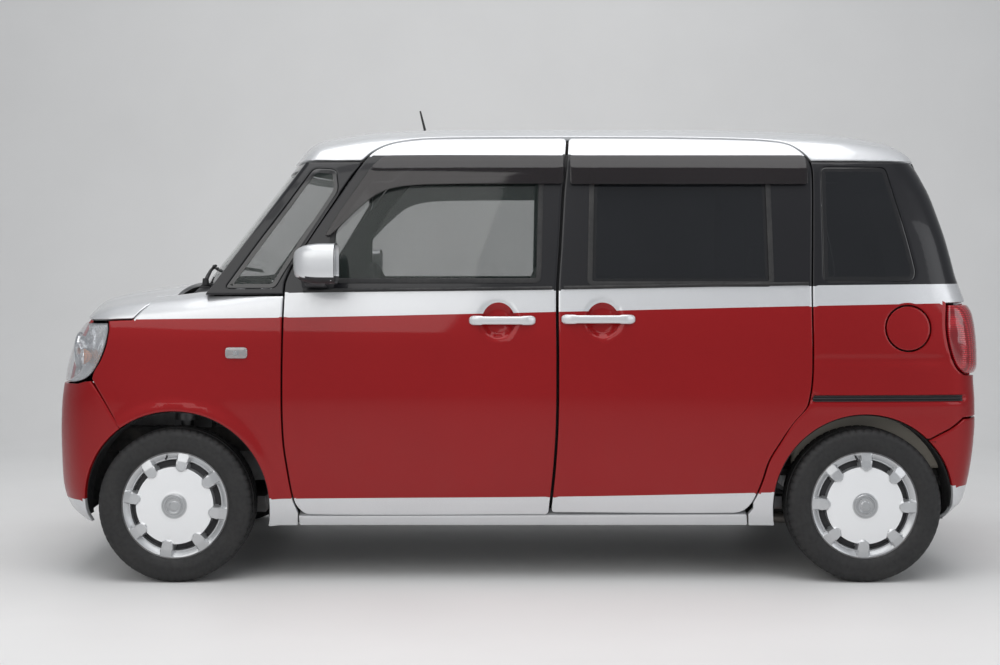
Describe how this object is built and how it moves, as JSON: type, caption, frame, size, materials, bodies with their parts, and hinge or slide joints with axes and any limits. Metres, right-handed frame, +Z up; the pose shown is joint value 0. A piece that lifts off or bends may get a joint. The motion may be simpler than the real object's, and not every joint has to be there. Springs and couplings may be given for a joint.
{
  "type": "kei car",
  "caption": "Boxy kei minivan with hinged front doors, fixed sliding rear doors, bonnet, tailgate, fuel flap, steered front wheels and freely turning wheels; cabin is hollow with seats and dashboard",
  "frame": {"origin": "on the ground at the middle of the outer box: halfway across the mirrors and halfway along the body", "axes": "+X to the car's left, +Y rearward (the front faces -Y), +Z up"},
  "size_m": [1.848, 3.395, 1.7547],
  "materials": {
    "underbody": "matte",
    "black_paint": "gloss",
    "silver_paint": "metallic gloss",
    "red_paint": "pearl gloss",
    "clear_glass": "polished",
    "tinted_glass": "polished",
    "silver_plastic": "metallic gloss",
    "lamp_clear": "clear gloss",
    "lamp_red": "clear gloss",
    "trim_plastic": "grained",
    "seat_cloth": "woven",
    "cast_metal": "cast",
    "chassis_steel": "satin",
    "tyre_rubber": "matte"
  },
  "bodies": {
    "body": {"floor_pan": "underbody", "body_sides": "black_paint", "roof_panel": "silver_paint", "front_fenders": "red_paint", "front_bumper": "red_paint", "rear_bumper": "red_paint", "windscreen": "clear_glass", "side_glass": "tinted_glass", "sliding_doors": "red_paint", "sliding_door_handles": "silver_plastic", "headlights": "lamp_clear", "tail_lights": "lamp_red", "dashboard": "trim_plastic", "front_seats": "seat_cloth", "rear_seat": "seat_cloth", "engine": "cast_metal", "front_suspension": "chassis_steel", "rear_axle": "chassis_steel", "fuel_tank": "trim_plastic", "exhaust": "chassis_steel", "wipers": "trim_plastic", "front_plate_bracket": "trim_plastic"},
    "steering_wheel": {"steering_wheel": "trim_plastic"},
    "left_front_door": {"left_front_door": "red_paint", "left_door_glass": "clear_glass", "left_door_mirror": "silver_paint", "left_door_handle": "silver_plastic"},
    "right_front_door": {"right_front_door": "red_paint", "right_door_glass": "clear_glass", "right_door_mirror": "silver_paint", "right_door_handle": "silver_plastic"},
    "bonnet": {"bonnet": "red_paint"},
    "tailgate": {"tailgate": "red_paint", "tailgate_glass": "tinted_glass"},
    "left_knuckle": {"left_knuckle": "chassis_steel"},
    "right_knuckle": {"right_knuckle": "chassis_steel"},
    "front_left_wheel": {"front_left_tyre": "tyre_rubber", "front_left_wheel": "silver_plastic"},
    "front_right_wheel": {"front_right_tyre": "tyre_rubber", "front_right_wheel": "silver_plastic"},
    "rear_left_wheel": {"rear_left_tyre": "tyre_rubber", "rear_left_wheel": "silver_plastic"},
    "rear_right_wheel": {"rear_right_tyre": "tyre_rubber", "rear_right_wheel": "silver_plastic"},
    "fuel_flap": {"fuel_flap": "red_paint"}
  },
  "joints": [
    {"name": "steering", "type": "hinge", "parent": "body", "child": "steering_wheel", "pos_m": [-0.325, -0.52, 0.975], "axis": [0, -0.9063, -0.4226], "range_deg": [-525, 525]},
    {"name": "left_steer", "type": "hinge", "parent": "body", "child": "left_knuckle", "pos_m": [0.6, -1.1975, 0.275], "axis": [0, 0, -1], "range_deg": [-35, 35]},
    {"name": "right_steer", "type": "hinge", "parent": "body", "child": "right_knuckle", "pos_m": [-0.6, -1.1975, 0.275], "axis": [0, 0, -1], "range_deg": [-35, 35]},
    {"name": "front_left_spin", "type": "hinge", "parent": "left_knuckle", "child": "front_left_wheel", "pos_m": [0.65, -1.1975, 0.275], "axis": [1, 0, 0], "continuous": true},
    {"name": "front_right_spin", "type": "hinge", "parent": "right_knuckle", "child": "front_right_wheel", "pos_m": [-0.65, -1.1975, 0.275], "axis": [1, 0, 0], "continuous": true},
    {"name": "rear_left_spin", "type": "hinge", "parent": "body", "child": "rear_left_wheel", "pos_m": [0.65, 1.2575, 0.275], "axis": [1, 0, 0], "continuous": true},
    {"name": "rear_right_spin", "type": "hinge", "parent": "body", "child": "rear_right_wheel", "pos_m": [-0.65, 1.2575, 0.275], "axis": [1, 0, 0], "continuous": true},
    {"name": "left_door_hinge", "type": "hinge", "parent": "body", "child": "left_front_door", "pos_m": [0.7365, -0.776, 0.65], "axis": [0, 0, -1], "range_deg": [0, 65]},
    {"name": "right_door_hinge", "type": "hinge", "parent": "body", "child": "right_front_door", "pos_m": [-0.7365, -0.776, 0.65], "axis": [0, 0, 1], "range_deg": [0, 65]},
    {"name": "bonnet_hinge", "type": "hinge", "parent": "body", "child": "bonnet", "pos_m": [0, -1.216, 1.069], "axis": [-1, 0, 0], "range_deg": [0, 50]},
    {"name": "tailgate_hinge", "type": "hinge", "parent": "body", "child": "tailgate", "pos_m": [0, 1.412, 1.593], "axis": [1, 0, 0], "range_deg": [0, 80]},
    {"name": "fuel_flap_hinge", "type": "hinge", "parent": "body", "child": "fuel_flap", "pos_m": [0.7295, 1.338, 0.905], "axis": [0, 0, -1], "range_deg": [0, 100]}
  ],
  "couplings": [
    {"joint": "left_steer", "follows": "steering", "ratio": 0.066667},
    {"joint": "right_steer", "follows": "steering", "ratio": 0.066667}
  ]
}
